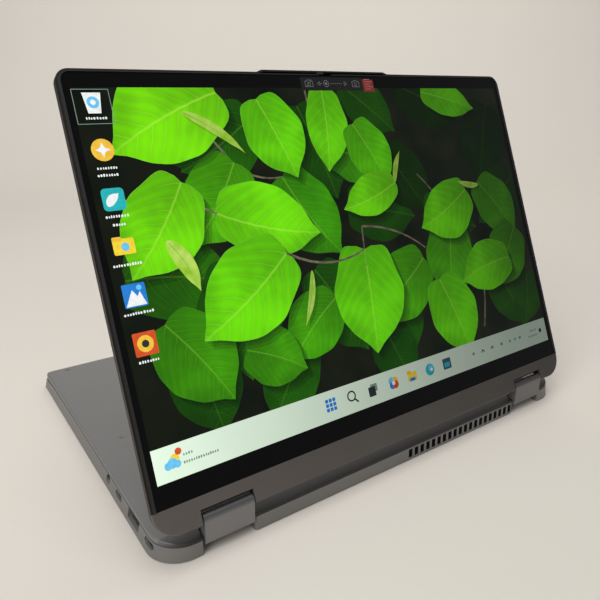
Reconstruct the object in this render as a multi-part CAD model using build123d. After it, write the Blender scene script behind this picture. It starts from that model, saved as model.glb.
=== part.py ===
from build123d import *
import math
import os

os.makedirs("parts", exist_ok=True)

# A 14-inch convertible laptop standing in stand mode: base upside down, screen leaning back.
# Millimetres. X along the hinge, +Y from the hinge towards the base's free edge, +Z up.
# Base pieces are built with y = 0 at the hinge-side wall and z = 0 at the keyboard face.
# Lid pieces are built flat, X across, Y up the screen, Z out of the glass, then tilted.

WIDTH = 313.0
DEPTH = 225.0
BASE_T = 11.4
WALL = 1.8
DECK_T = 1.5
SIDE_H = 9.2
GROOVE = 0.5
COVER_R = 1.3
SIDE_DRAFT = 2.0
REAR_DRAFT = 0.5
FRONT_DRAFT = 1.5
REAR_R = 18.0
FRONT_R = 4.5
SEAM_H = 8.5
SEAM_DEEP = 0.8
SEAM_FRONT = 6.2
FRONT_BEVEL = (3.6, 3.8)
FRONT_WALL = 5.0
TAPER_Y = 88.0
TAPER_DROP = 0.4

LID_L = 223.0
LID_T = 5.4
LID_SKIN = 1.2
LID_RIM = 1.0
LID_LOW_R = 13.0
LID_TOP_R = 7.0
LID_TILT = 67.0
LID_Y = -0.88
LID_Z = 18.29
BUMP_H = 1.3
BUMP_TOP = 90.0
BUMP_FOOT = 97.0
CHIN_V = 14.0
CHIN_T = 1.2
GLASS_W = 308.0
GLASS_TOP = 221.4
GLASS_T = 0.7
PANEL_T = 2.3
GASKET_W = 1.4
GASKET_PROUD = 0.6

AXIS_Y = 2.2
AXIS_Z = 8.0
AXIS_GAP = 11.4
BLOCK_HALF = 2.9
BLOCK_IN = 105.0
BLOCK_OUT = 132.6
NOTCH_IN = 104.2
NOTCH_OUT = 133.4
NOTCH_Y = 6.2
NOTCH_V = 7.5
NOTCH_BACK = 5.6
NOTCH_WALL = 1.3
SHAFT_R = 1.1
SHAFT_END = 120.0
RUN_GAP = 0.05
SEAT_GAP = 0.08

VENT_N = 20
VENT_X0 = 5.8
VENT_PITCH = 5.0
VENT_W = 3.0
VENT_Z0 = 2.0
VENT_Z1 = 7.5

KEY_X = 136.5
KEY_UNIT = 2 * KEY_X / 15
KEY_GAP = 2.4
KEY_TOP = 0.3
KEY_T = 2.3
KEY_Y0 = 26.5
FN_H = 8.6
ROW_H = 15.2
ROW_PITCH = 17.8
KEY_CLEAR = 0.45
GRID_Z = 1.5
GRID_T = 0.5
WELL = (-138.2, 138.2, 24.6, 128.8)

PORT_Z = 5.9
PORT_FACE = 154.3
USB_C_Y = (16.5, 59.6)
HDMI_Y = 37.0
JACK_Y = 77.0
USB_A_Y = (39.0, 58.0)
CARD_Y = 79.0
POWER_Y = 22.5
SCREWS = [(-137.4, 104.9), (137.4, 104.9), (-139.8, 217.0), (139.8, 217.0), (-140.6, 14.0),
          (140.6, 14.0), (0, 217.0), (-30, 12.0), (-70, 131.9), (70, 131.9)]
PLATE_SCREWS = SCREWS[:2]
DECK_SCREWS = SCREWS[2:]

PAD_W = 122.0
PAD_Y0 = 137.5
PAD_Y1 = 212.5
FAN = (50.0, 50.0)
FAN_R = 25.0
LENS_U = -2.0
LENS_V = 217.2
SHUTTER_TRAVEL = 5.8

SHIFT_Y = -(DEPTH - (BLOCK_HALF - AXIS_Y)) / 2
BASE_AT = Pos(0, SHIFT_Y, 0)
LID_AT = Pos(0, SHIFT_Y + LID_Y, LID_Z) * Rot(LID_TILT, 0, 0)
LID_AXIS_V = 2.23
LID_AXIS_N = -2.4


def box(x0, x1, y0, y1, z0, z1):
    centre = Pos((x0 + x1) / 2, (y0 + y1) / 2, (z0 + z1) / 2)
    return centre * Box(x1 - x0, y1 - y0, z1 - z0)


def slab(x0, x1, y0, y1, z0, z1, r):
    face = Pos((x0 + x1) / 2, (y0 + y1) / 2, z0) * RectangleRounded(x1 - x0, y1 - y0, r)
    return extrude(face, z1 - z0)


def rod_x(x0, x1, y, z, r):
    return Pos((x0 + x1) / 2, y, z) * Rot(0, 90, 0) * Cylinder(r, x1 - x0)


def rod_z(x, y, z0, z1, r):
    return Pos(x, y, (z0 + z1) / 2) * Cylinder(r, z1 - z0)


def other_side(shape):
    return mirror(shape, about=Plane.YZ)


def group(shapes):
    return Part() + list(shapes)


def save(name, shape, at=BASE_AT):
    export_step(at * shape, "parts/" + name + ".step")


def plan(half, y0, y1, r_low, r_high, z=0.0):
    """Flat outline, rounded more at the hinge end than at the far end."""
    face = Pos(0, (y0 + y1) / 2) * Rectangle(2 * half, y1 - y0)
    face = fillet(face.vertices().sort_by(Axis.Y)[:2], r_low)
    face = fillet(face.vertices().sort_by(Axis.Y)[-2:], r_high)
    return Pos(0, 0, z) * face


def drop(y):
    """How far the base has thinned at this distance from the hinge side."""
    return TAPER_DROP * max(0.0, y - TAPER_Y) / (DEPTH - TAPER_Y)


def under(z):
    """Everything below a level that slopes down towards the front edge."""
    points = [(-20, -5), (250, -5), (250, z - drop(250)), (TAPER_Y, z), (-20, z)]
    return extrude(Plane.YZ * Pos(0, 0, -170) * make_face(Polyline(*points, close=True)), 340)


def below_seam(gap=0.0):
    """Everything below the seam, which runs level and then dips at the front corners."""
    line = [(250, SEAM_FRONT), (DEPTH, SEAM_FRONT), (DEPTH - 29, SEAM_H - 0.5), (DEPTH - 75, SEAM_H),
            (-20, SEAM_H)]
    points = [(-20, -5), (250, -5)] + [(y, z + gap) for y, z in line]
    return extrude(Plane.YZ * Pos(0, 0, -170) * make_face(Polyline(*points, close=True)), 340)


def front_bevel():
    """Wedge taken off the deck's front edge so the lid can be lifted with a fingertip."""
    y, z = FRONT_BEVEL
    points = [(DEPTH - y, 0), (DEPTH, z), (DEPTH + 2, z), (DEPTH + 2, -1), (DEPTH - y, -1)]
    return extrude(Plane.YZ * Pos(0, 0, -170) * make_face(Polyline(*points, close=True)), 340)


def notch_chamfers():
    """Flats on the outer corners of the wall beside each hinge block."""
    cut = Pos(NOTCH_IN, 0, 5) * Rot(0, 0, 45) * Box(1.7, 1.7, 14)
    cut += Pos(NOTCH_OUT, 0, 5) * Rot(0, 0, 45) * Box(1.1, 1.1, 14)
    return cut + other_side(cut)


def notches(depth_to, z0, z1, grow=0.0):
    right = box(NOTCH_IN - grow, NOTCH_OUT + grow, -6, depth_to + grow, z0, z1)
    return right + other_side(right)


def base_pocket(grow=0.0):
    """Room for the bracket arm just inside the hinge-side wall."""
    right = box(92.0, NOTCH_IN - NOTCH_WALL, 1.0, 8.6, 6.6, SIDE_H)
    return right + other_side(right)


def seat_holes(y, z):
    """Holes that let the hinge shafts out of the inner cheek of each notch."""
    right = rod_x(90, NOTCH_IN + 1, y, z, SHAFT_R + SEAT_GAP)
    return right + other_side(right)


def deck_shell():
    half = WIDTH / 2
    low = plan(half - 0.5, 0.5, DEPTH - 0.5, REAR_R, FRONT_R)
    mid = plan(half, 0, DEPTH, REAR_R, FRONT_R, 0.5)
    top = plan(half - SIDE_DRAFT, REAR_DRAFT, DEPTH - FRONT_DRAFT, REAR_R - 1, FRONT_R - 1, SIDE_H)
    shell = loft([low, mid], ruled=True) + loft([mid, top], ruled=True)
    inner_low = plan(half - 2.3, 3.4, DEPTH - FRONT_WALL, REAR_R - 2, 2.5, DECK_T)
    inner_top = plan(half - SIDE_DRAFT - WALL, 3.4, DEPTH - FRONT_WALL, REAR_R - 3, 2.5, SIDE_H)
    return shell - loft([inner_low, inner_top], ruled=True)


def deck_bosses():
    bosses = [rod_z(x, y, DECK_T, SIDE_H, 2.4) for x, y in DECK_SCREWS]
    return group(bosses)


def seam_rebate():
    """Outer step of the wall, where the cover's rim comes down."""
    inset = SIDE_DRAFT + SEAM_DEEP + 0.1
    kept = plan(WIDTH / 2 - inset, REAR_DRAFT + SEAM_DEEP + 0.1, DEPTH - FRONT_DRAFT - SEAM_DEEP - 0.1,
                REAR_R - 2, FRONT_R - 2)
    block = box(-170, 170, -10, 240, 4.0, SIDE_H + 1) - extrude(kept, SIDE_H + 1)
    return block - below_seam()


def screw_holes(spots, z0, z1, r):
    return group([rod_z(x, y, z0, z1, r) for x, y in spots])


def vent_slots():
    slots = []
    for i in range(VENT_N):
        x = VENT_X0 + i * VENT_PITCH
        slots.append(box(x - VENT_W / 2, x + VENT_W / 2, -1, 3.6, VENT_Z0, VENT_Z1))
    return group(slots)


def usb_c_mouth(y, grow):
    face = Plane.YZ * Pos(y, PORT_Z) * SlotOverall(9.0 + 2 * grow, 3.2 + 2 * grow)
    return Pos(-160, 0, 0) * extrude(face, 10)


def left_mouths():
    grow = 0.1
    hdmi = box(-160, -152, HDMI_Y - 7.5 - grow, HDMI_Y + 7.5 + grow, PORT_Z - 2.8 - grow,
               PORT_Z + 2.8 + grow)
    jack = rod_x(-160, -152, JACK_Y, PORT_Z, 2.6 + grow)
    return group([usb_c_mouth(y, grow) for y in USB_C_Y]) + hdmi + jack


def right_mouths():
    grow = 0.1
    cuts = []
    for y in USB_A_Y:
        cuts.append(box(152, 160, y - 6.6 - grow, y + 6.6 + grow, PORT_Z - 2.9 - grow,
                        PORT_Z + 2.9 + grow))
    cuts.append(box(152, 160, CARD_Y - 13 - grow, CARD_Y + 13 + grow, PORT_Z - 1.5 - grow,
                    PORT_Z + 1.5 + grow))
    cuts.append(box(152, 160, POWER_Y - 6.2, POWER_Y + 6.2, PORT_Z - 1.4, PORT_Z + 1.4))
    return group(cuts)


def grille_slots():
    slots = []
    for i in range(11):
        y = 96.0 + i * 3.2
        slots.append(slab(142.8, 149.2, y, y + 1.2, -1, 2.5, 0.5))
    right = group(slots)
    return right + other_side(right)


def keyboard_deck():
    deck = deck_shell() + deck_bosses()
    deck += notches(NOTCH_Y, DECK_T, SIDE_H, NOTCH_WALL) & box(-150, 150, 1.2, 9, 0.5, SIDE_H)
    deck -= notches(NOTCH_Y, -1, SIDE_H + 1)
    deck -= base_pocket()
    deck -= seat_holes(AXIS_Y, AXIS_Z)
    deck -= vent_slots() + left_mouths() + right_mouths()
    deck -= slab(WELL[0], WELL[1], WELL[2], WELL[3], -1, DECK_T + 0.2, 2.0)
    deck -= slab(-PAD_W / 2 - 0.4, PAD_W / 2 + 0.4, PAD_Y0 - 0.4, PAD_Y1 + 0.4, -1, 2.5, 3.4)
    deck -= group([rod_z(x, y, 5.0 - drop(y), SIDE_H + 1, 0.95) for x, y in DECK_SCREWS])
    deck -= seam_rebate() + front_bevel() + notch_chamfers()
    return (deck & under(SIDE_H)) - grille_slots()


def intake_slots():
    slots = []
    for row in range(4):
        for i in range(22):
            x = -22 + i * 5.2
            y = 34 + row * 10
            slots.append(slab(x, x + 2.6, y, y + 7.4, 8, 12, 1.25))
    return group(slots)


def cover_plate():
    """The cover's skin, rounded along its top edge, with a rim that drops to the seam."""
    half = WIDTH / 2 - SIDE_DRAFT
    edge = plan(half, REAR_DRAFT, DEPTH - FRONT_DRAFT, REAR_R - 1, FRONT_R - 1, 4.0)
    plate = (extrude(edge, BASE_T - 4.0) & under(BASE_T)) - below_seam(GROOVE)
    rim = [e for e in plate.edges() if is_rim(e)]
    plate = fillet(rim, COVER_R)
    y0, y1 = REAR_DRAFT + SEAM_DEEP, DEPTH - FRONT_DRAFT - SEAM_DEEP
    inside = plan(half - SEAM_DEEP, y0, y1, REAR_R - 2, FRONT_R - 2)
    return plate - (extrude(inside, SIDE_H + 1) & under(SIDE_H))


def is_rim(edge):
    """True on the outline of the cover's top face."""
    spot = edge.center()
    on_top = abs(spot.Z - BASE_T + drop(spot.Y)) < 0.02
    across = abs(spot.X) < 1 and abs(spot.Y - TAPER_Y) < 0.1
    return on_top and not across


def bottom_cover():
    cover = cover_plate()
    ramp = Pos(0, REAR_DRAFT, BASE_T - 1.1) * Rot(11, 0, 0) * box(-160, 160, -6, 6.2, 0, 4)
    cover -= ramp
    cover -= notches(NOTCH_Y, SIDE_H - 2, BASE_T + 1)
    cover -= screw_holes(SCREWS, 5.0, BASE_T + 1, 1.0)
    cover -= group([rod_z(x, y, BASE_T - 0.9 - drop(y), BASE_T + 1, 2.1) for x, y in SCREWS])
    return cover - intake_slots()


def bottom_screws():
    screws = []
    for x, y in SCREWS:
        top = BASE_T - drop(y)
        head = rod_z(x, y, top - 0.88, top - 0.1, 2.0)
        head -= rod_z(x, y, top - 0.5, top, 0.75)
        screws.append(head + rod_z(x, y, top - 5.2, top - 0.88, 0.9))
    return group(screws)


def rubber_feet():
    left = slab(-135, -36, 10.6, 20.0, BASE_T, BASE_T + 1.5, 4.0)
    right = slab(-24, 135, 10.6, 20.0, BASE_T, BASE_T + 1.5, 4.0)
    front = slab(-88, 88, 204, 211, BASE_T, BASE_T + 1.2, 3.4)
    left, right, front = [fillet(f.edges().group_by(Axis.Z)[-1], 0.7) for f in (left, right, front)]
    slope = math.degrees(math.atan(TAPER_DROP / (DEPTH - TAPER_Y)))
    lean = Pos(0, TAPER_Y, BASE_T) * Rot(-slope, 0, 0) * Pos(0, -TAPER_Y, -BASE_T)
    return group([left, right, lean * front])


def row_y(row):
    """Near and far edge of a key row, counted from the function row."""
    if row == 0:
        return KEY_Y0, KEY_Y0 + FN_H
    y0 = KEY_Y0 + FN_H + KEY_GAP + (row - 1) * ROW_PITCH
    return y0, y0 + ROW_H


ROW_UNITS = [
    [15 / 14] * 14,
    [1.0] * 13 + [2.0],
    [1.5] + [1.0] * 12 + [1.5],
    [1.75] + [1.0] * 11 + [2.25],
    [2.25] + [1.0] * 10 + [2.75],
    [1.25, 1.0, 1.0, 1.0, 5.5, 1.0, 1.25, 1.0, 1.0, 1.0],
]
SPACE_AT = 4
ARROW_AT = 8


def key_cells(row):
    """Outlines (x0, x1, y0, y1) of the caps in a row; the up and down arrows share a cell."""
    y0, y1 = row_y(row)
    x = -KEY_X
    cells = []
    for i, units in enumerate(ROW_UNITS[row]):
        x1 = x + units * KEY_UNIT
        cell = (x + KEY_GAP / 2, x1 - KEY_GAP / 2)
        if row == 5 and i == ARROW_AT:
            middle = (y0 + y1) / 2
            cells.append((cell[0], cell[1], y0, middle - 0.6))
            cells.append((cell[0], cell[1], middle + 0.6, y1))
        else:
            cells.append((cell[0], cell[1], y0, y1))
        x = x1
    return cells


def key_cap(cell):
    x0, x1, y0, y1 = cell
    return slab(x0, x1, y0, y1, KEY_TOP, KEY_TOP + KEY_T, 1.2)


def key_row(row):
    cells = key_cells(row)
    if row == 5:
        del cells[SPACE_AT]
    return group([key_cap(c) for c in cells])


def key_grid():
    x0, x1, y0, y1 = WELL
    grid = slab(x0 - 1.6, x1 + 1.6, y0 - 1.4, y1 + 0.6, GRID_Z, GRID_Z + GRID_T, 2.0)
    holes = []
    for row in range(6):
        y_low, y_high = row_y(row)
        cells = key_cells(row)
        if row == 5:
            cells = cells[:ARROW_AT] + [(cells[8][0], cells[8][1], y_low, y_high), cells[10]]
        for a, b, c, d in cells:
            e = KEY_CLEAR
            holes.append(box(a - e, b + e, c - e, d + e, 0, 4))
    return grid - group(holes)


def keyboard_plate():
    plate = box(-140.5, 140.5, 25.0, 129.0, 4.6, 5.0)
    bosses = group([rod_z(x, y, 5.0, SIDE_H, 2.2) for x, y in PLATE_SCREWS])
    whole = plate + (bosses & under(SIDE_H))
    return whole - screw_holes(PLATE_SCREWS, 5.2, SIDE_H + 1, 0.95)


def touchpad():
    pad = slab(-PAD_W / 2, PAD_W / 2, PAD_Y0, PAD_Y1, 0.35, 1.45, 3.0)
    board = box(-PAD_W / 2 + 4, PAD_W / 2 - 4, PAD_Y0 + 4, PAD_Y1 - 4, 1.45, 2.2)
    return pad + board


def motherboard():
    board = box(-132, 12, 26, 126, 6.0, 7.0)
    chips = [box(-66, -38, 52, 80, 7.0, 7.6), box(-104, -80, 46, 60, 7.0, 8.2),
             box(-104, -80, 66, 80, 7.0, 8.2), box(-28, -14, 84, 94, 7.0, 8.0),
             box(-128, -112, 50, 76, 7.0, 8.4)]
    return board + group(chips) - screw_holes(PLATE_SCREWS, 5.5, 9, 3.0)


def heat_pipe():
    z0, z1 = 8.1, 9.1
    run = slab(-60, 1.5, 62, 70, z0, z1, 3.4) + slab(-6.5, 1.5, 5.2, 70, z0, z1, 3.4)
    return run + slab(-6.5, 90, 5.2, 13.2, z0, z1, 3.4)


def heatsink_fins():
    spine = box(8.2, 91, 5.0, 13.4, 7.6, 8.1)
    floor = box(8.2, 91, 5.0, 13.4, 2.0, 2.3)
    fins = [box(8.2 + i * 2.06, 8.6 + i * 2.06, 5.0, 13.4, 2.3, 7.6) for i in range(41)]
    return spine + floor + group(fins)


def fan_housing():
    x, y = FAN
    shell = slab(x - 31, x + 31, 16, y + 31, 5.4, 8.9, 6.0)
    shell -= rod_z(x, y, 5.9, 8.4, 28.0)
    shell -= box(x - 24, x + 24, 15, y, 5.9, 8.4)
    shell -= rod_z(x, y, 8.2, 9.5, 17.0)
    return shell + rod_z(x, y, 5.7, 7.9, 1.2)


def fan_rotor():
    x, y = FAN
    hub = rod_z(x, y, 6.2, 8.2, 8.0) - rod_z(x, y, 6.0, 9.0, 1.2 + RUN_GAP)
    blade = Pos(16.2, 0, 7.2) * Rot(0, 0, 12) * Box(17.0, 0.7, 1.8)
    blades = [Rot(0, 0, i * 360 / 21) * blade for i in range(21)]
    return hub + Pos(x, y, 0) * group(blades)


def battery_cells():
    cells = []
    for i in range(4):
        x = -118 + i * 59.4
        cells.append(slab(x, x + 57.6, 137.5, 211.5, 2.8, 7.2, 1.5))
    return group(cells)


def battery_frame():
    outer = slab(-121, 121, 135.2, 214.0, 2.5, 6.9, 2.0)
    return outer - box(-118.6, 118.6, 137.2, 211.8, 2.0, 9)


def speaker_right():
    body = slab(142.4, 150.8, 94, 132, 2.4, 8.4, 1.5)
    return body - slab(144, 149.2, 96, 130, 2.0, 3.4, 1.5)


def usb_c_port(y):
    face = Plane.YZ * Pos(y, PORT_Z) * SlotOverall(9.0, 3.2)
    hole = Plane.YZ * Pos(y, PORT_Z) * SlotOverall(8.4, 2.6)
    shell = extrude(face, 10) - extrude(hole, 9)
    tongue = box(0.6, 9.2, y - 3.35, y + 3.35, PORT_Z - 0.35, PORT_Z + 0.35)
    return Pos(-PORT_FACE, 0, 0) * (shell + tongue)


def hdmi_port():
    x, z = -PORT_FACE, PORT_Z
    shell = box(x, x + 11, HDMI_Y - 7.5, HDMI_Y + 7.5, z - 2.8, z + 2.8)
    mouth = box(x - 1, x + 9.5, HDMI_Y - 7.0, HDMI_Y + 7.0, z - 2.3, z + 2.3)
    corner = Pos(x + 5, HDMI_Y - 7.6, z - 2.9) * Rot(45, 0, 0) * Box(12, 2.9, 2.9)
    corner += Pos(x + 5, HDMI_Y + 7.6, z - 2.9) * Rot(45, 0, 0) * Box(12, 2.9, 2.9)
    shell -= mouth - corner
    return shell + box(x + 1, x + 10, HDMI_Y - 5.6, HDMI_Y + 5.6, z - 0.1, z + 0.9)


def audio_jack():
    x = -PORT_FACE
    collar = rod_x(x, x + 3, JACK_Y, PORT_Z, 2.6)
    body = box(x + 2.6, x + 13.5, JACK_Y - 3.1, JACK_Y + 3.1, PORT_Z - 2.9, PORT_Z + 2.9)
    return collar + body - rod_x(x - 1, x + 12, JACK_Y, PORT_Z, 1.8)


def usb_a_port(y):
    x, z = PORT_FACE, PORT_Z
    shell = box(x - 13, x, y - 6.6, y + 6.6, z - 2.9, z + 2.9)
    shell -= box(x - 12, x + 1, y - 6.25, y + 6.25, z - 2.55, z + 2.55)
    return shell + box(x - 12.2, x - 0.8, y - 5.6, y + 5.6, z - 1.9, z - 0.1)


def card_reader():
    x, z = PORT_FACE, PORT_Z
    shell = box(x - 12, x, CARD_Y - 13, CARD_Y + 13, z - 1.5, z + 1.5)
    return shell - box(x - 11, x + 1, CARD_Y - 12.2, CARD_Y + 12.2, z - 1.1, z + 1.1)


def power_button():
    x, z = 155.05, PORT_Z
    cap = box(x - 3.0, x, POWER_Y - 6.1, POWER_Y + 6.1, z - 1.3, z + 1.3)
    return cap + box(x - 3.8, x - 3.0, POWER_Y - 7.4, POWER_Y + 7.4, z - 1.3, z + 1.3)


def base_hinge_right():
    plate = box(92.4, 102.4, 9.0, 22.8, DECK_T, 2.7) + box(76, 92.4, 14.0, 22.8, DECK_T, 2.7)
    riser = box(93, 102.4, 9.0, 10.6, DECK_T, 9.1)
    arm = box(93, 102.4, 3.0, 10.6, 7.0, 9.1) + rod_x(93, 102.4, AXIS_Y, AXIS_Z, SHAFT_R)
    arm += box(93, 102.4, AXIS_Y, 3.2, AXIS_Z - 1.0, AXIS_Z + SHAFT_R)
    return plate + riser + arm + rod_x(100, SHAFT_END, AXIS_Y, AXIS_Z, SHAFT_R)


def hinge_block_right():
    far = AXIS_Z + AXIS_GAP
    span = BLOCK_OUT - BLOCK_IN
    middle = (AXIS_Z + far) / 2
    body = Pos((BLOCK_IN + BLOCK_OUT) / 2, AXIS_Y, middle) * Box(span, 2 * BLOCK_HALF, AXIS_GAP)
    body += rod_x(BLOCK_IN, BLOCK_OUT, AXIS_Y, AXIS_Z, BLOCK_HALF)
    body += rod_x(BLOCK_IN, BLOCK_OUT, AXIS_Y, far, BLOCK_HALF)
    body -= rod_x(BLOCK_IN - 1, SHAFT_END + 0.4, AXIS_Y, AXIS_Z, SHAFT_R + RUN_GAP)
    return body - rod_x(BLOCK_IN - 1, SHAFT_END + 0.4, AXIS_Y, far, SHAFT_R + RUN_GAP)


def lid_outline(inset, z, with_bump=True):
    half = WIDTH / 2 - inset
    face = plan(half, inset, LID_L - inset, LID_LOW_R - inset, LID_TOP_R - inset)
    if with_bump:
        y0 = LID_L - inset - 1
        y1 = LID_L - inset + BUMP_H
        foot = BUMP_FOOT / 2 - inset
        top = BUMP_TOP / 2 - inset
        points = [(-foot - 2.7, y0), (foot + 2.7, y0), (foot, y0 + 1), (top, y1), (-top, y1),
                  (-foot, y0 + 1)]
        face += make_face(Polyline(*points, close=True))
    return Pos(0, 0, z) * face


def lid_back_cover():
    shell = extrude(lid_outline(0, -LID_T), LID_T)
    shell = fillet(shell.edges().group_by(Axis.Z)[0], 1.9)
    hollow = extrude(lid_outline(LID_RIM, -LID_T + LID_SKIN), LID_T)
    shell -= hollow
    walls = notches(NOTCH_V, -LID_T + 0.5, 0, NOTCH_WALL) & box(-150, 150, 0.6, NOTCH_V, -LID_T, 0)
    shell += walls
    shell -= box(-160, 160, -1, CHIN_V, -CHIN_T, 1)
    shell -= notches(NOTCH_BACK, -LID_T - 1, 1) + notches(NOTCH_V, -LID_T + LID_SKIN, 1)
    shell -= seat_holes(LID_AXIS_V, LID_AXIS_N)
    nub = box(LENS_U - 5.2, LENS_U + 5.2, GLASS_TOP + 0.7, GLASS_TOP + 2.0, -1.6, 1)
    return shell - nub


def chin_strip():
    face = plan(WIDTH / 2, 0, 60, LID_LOW_R, 1) & Pos(0, CHIN_V / 2) * Rectangle(400, CHIN_V)
    strip = extrude(Pos(0, 0, -CHIN_T) * face, CHIN_T)
    rim = strip.edges().group_by(Axis.Z)[-1].filter_by(lambda e: e.center().Y < CHIN_V - 0.1)
    strip = fillet(rim, 0.7)
    return strip - notches(NOTCH_V, -3, 1)


def display_glass():
    half = GLASS_W / 2
    face = plan(half, CHIN_V + 0.1, GLASS_TOP, 0.5, 4.5)
    return extrude(Pos(0, 0, -GLASS_T) * face, GLASS_T)


def rim_gasket():
    half = WIDTH / 2 - LID_RIM
    outer = plan(half, 0, LID_L - LID_RIM, 1, LID_TOP_R - LID_RIM)
    inner = plan(GLASS_W / 2 + 0.05, -5, GLASS_TOP + 0.05, 1, 4.55)
    low = Pos(0, CHIN_V / 2 - 3) * Rectangle(400, CHIN_V + 6.2)
    ring = extrude(Pos(0, 0, -1.6) * (outer - inner - low), 1.6 + GASKET_PROUD)
    nub = box(LENS_U - 5.2, LENS_U + 5.2, GLASS_TOP - 1, GLASS_TOP + 2.4, -1.35, 2)
    return ring - nub


def lcd_panel():
    z1 = -GLASS_T
    return box(-152, 152, 20, 215.2, z1 - PANEL_T, z1)


def camera_module():
    board = box(LENS_U - 14, LENS_U + 14, 215.8, 220.0, -3.6, -2.6)
    lens = Pos(LENS_U, LENS_V, -2.1) * Cylinder(1.6, 1.0)
    return board + lens


def privacy_shutter():
    """Open at rest: the blade stands beside the lens and slides across it."""
    x = LENS_U - SHUTTER_TRAVEL
    nub_x = LENS_U - SHUTTER_TRAVEL / 2
    blade = box(x - 2.0, x + 2.0, 215.6, 219.4, -1.3, -1.0)
    arm = box(nub_x - 2.2, x + 2.0, 219.0, GLASS_TOP + 1.9, -1.3, -1.0)
    nub = box(nub_x - 2.2, nub_x + 2.2, GLASS_TOP + 0.8, GLASS_TOP + 1.9, -1.3, 0.25)
    return blade + arm + nub


def mic_board():
    return box(34, 70, 216.2, 219.8, -3.4, -2.4) + box(38, 42, 217, 219, -2.4, -1.2)


def antennas():
    one = box(82, 134, 216.0, 220.4, -4.0, -2.2)
    return group([one, other_side(one)])


def lid_magnets():
    one = box(152.4, 154.6, 120, 160, -4.0, -2.0)
    two = box(152.4, 154.6, 30, 60, -4.0, -2.0)
    return group([one, two, other_side(one), other_side(two)])


def display_cable():
    run = box(-88, -78, 4, 70, -3.9, -3.6)
    return run + box(-88, 20, 62, 70, -3.9, -3.6)


def lid_hinge_right():
    plate = box(93, 102.6, 1.6, 52, -4.18, -3.2) - rod_z(98, 44, -5, 0, 1.2)
    arm = rod_x(93, 102.6, LID_AXIS_V, LID_AXIS_N, SHAFT_R)
    arm += box(93, 102.6, LID_AXIS_V, 9, LID_AXIS_N - SHAFT_R, LID_AXIS_N + 1.0)
    return plate + arm + rod_x(100, SHAFT_END, LID_AXIS_V, LID_AXIS_N, SHAFT_R)


def camera_label():
    return slab(-20.5, 27.0, 212.4, 220.4, 0.0, 0.08, 1.0)


def label_tab():
    return box(26.2, 34.8, 211.5, 219.2, 0.08, 0.2) + box(27.0, 34.8, 211.5, 219.2, 0.0, 0.08)


base_parts = {
    "keyboard_deck": keyboard_deck(), "bottom_cover": bottom_cover(), "rubber_feet": rubber_feet(),
    "bottom_screws": bottom_screws(), "key_grid": key_grid(), "keyboard_plate": keyboard_plate(),
    "motherboard": motherboard(), "heat_pipe": heat_pipe(), "heatsink_fins": heatsink_fins(),
    "fan_housing": fan_housing(), "fan_rotor": fan_rotor(), "battery_cells": battery_cells(),
    "battery_frame": battery_frame(), "hdmi_port": hdmi_port(), "audio_jack": audio_jack(),
    "card_reader": card_reader(), "power_button": power_button(), "touchpad": touchpad(),
    "ssd": box(-78, 2, 98, 120, 7.4, 8.6), "wifi_card": box(-122, -100, 92, 122, 7.4, 8.6),
    "io_board": box(102, 133, 27, 100, 6.0, 7.0),
    "board_ribbon": box(12.6, 101.4, 110, 124, 6.2, 6.5),
    "cold_plate": box(-68, -36, 50, 82, 7.6, 8.1),
    "usb_c_ports": group([usb_c_port(y) for y in USB_C_Y]),
    "usb_a_ports": group([usb_a_port(y) for y in USB_A_Y]),
    "speaker_right": speaker_right(), "speaker_left": other_side(speaker_right()),
    "base_hinge_right": base_hinge_right(), "base_hinge_left": other_side(base_hinge_right()),
    "hinge_block_right": hinge_block_right(), "hinge_block_left": other_side(hinge_block_right()),
    "space_bar": key_cap(key_cells(5)[SPACE_AT]),
}
lid_parts = {
    "lid_back_cover": lid_back_cover(), "chin_strip": chin_strip(), "display_glass": display_glass(),
    "rim_gasket": rim_gasket(), "lcd_panel": lcd_panel(), "camera_module": camera_module(),
    "privacy_shutter": privacy_shutter(), "mic_board": mic_board(), "antennas": antennas(),
    "lid_magnets": lid_magnets(), "display_cable": display_cable(),
    "lid_hinge_right": lid_hinge_right(), "lid_hinge_left": other_side(lid_hinge_right()),
    "camera_label": camera_label(), "label_tab": label_tab(),
}
for name, shape in base_parts.items():
    save(name, shape)
for row in range(6):
    save("key_row_" + str(row + 1), key_row(row))
for name, shape in lid_parts.items():
    save(name, shape, LID_AT)
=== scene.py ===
import bpy
import bmesh
import math
import random
from mathutils import Matrix, Vector
from mathutils.geometry import delaunay_2d_cdt


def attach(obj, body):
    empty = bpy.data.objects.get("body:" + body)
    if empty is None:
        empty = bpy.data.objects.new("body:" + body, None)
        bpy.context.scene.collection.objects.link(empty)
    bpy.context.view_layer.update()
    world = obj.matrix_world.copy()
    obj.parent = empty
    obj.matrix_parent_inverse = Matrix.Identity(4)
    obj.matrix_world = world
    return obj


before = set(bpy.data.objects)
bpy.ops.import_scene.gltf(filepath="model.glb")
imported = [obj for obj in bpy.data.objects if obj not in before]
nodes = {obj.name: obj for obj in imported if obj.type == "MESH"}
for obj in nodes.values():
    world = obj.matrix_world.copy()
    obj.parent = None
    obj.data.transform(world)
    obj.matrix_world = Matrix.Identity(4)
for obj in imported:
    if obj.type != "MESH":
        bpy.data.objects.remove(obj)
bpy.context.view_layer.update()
MM = 0.001
rng = random.Random(14)


# ---------------------------------------------------------------- frames of reference
GLASS_FOOT = 14.1                           # lower edge of the glass up the lid


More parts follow.
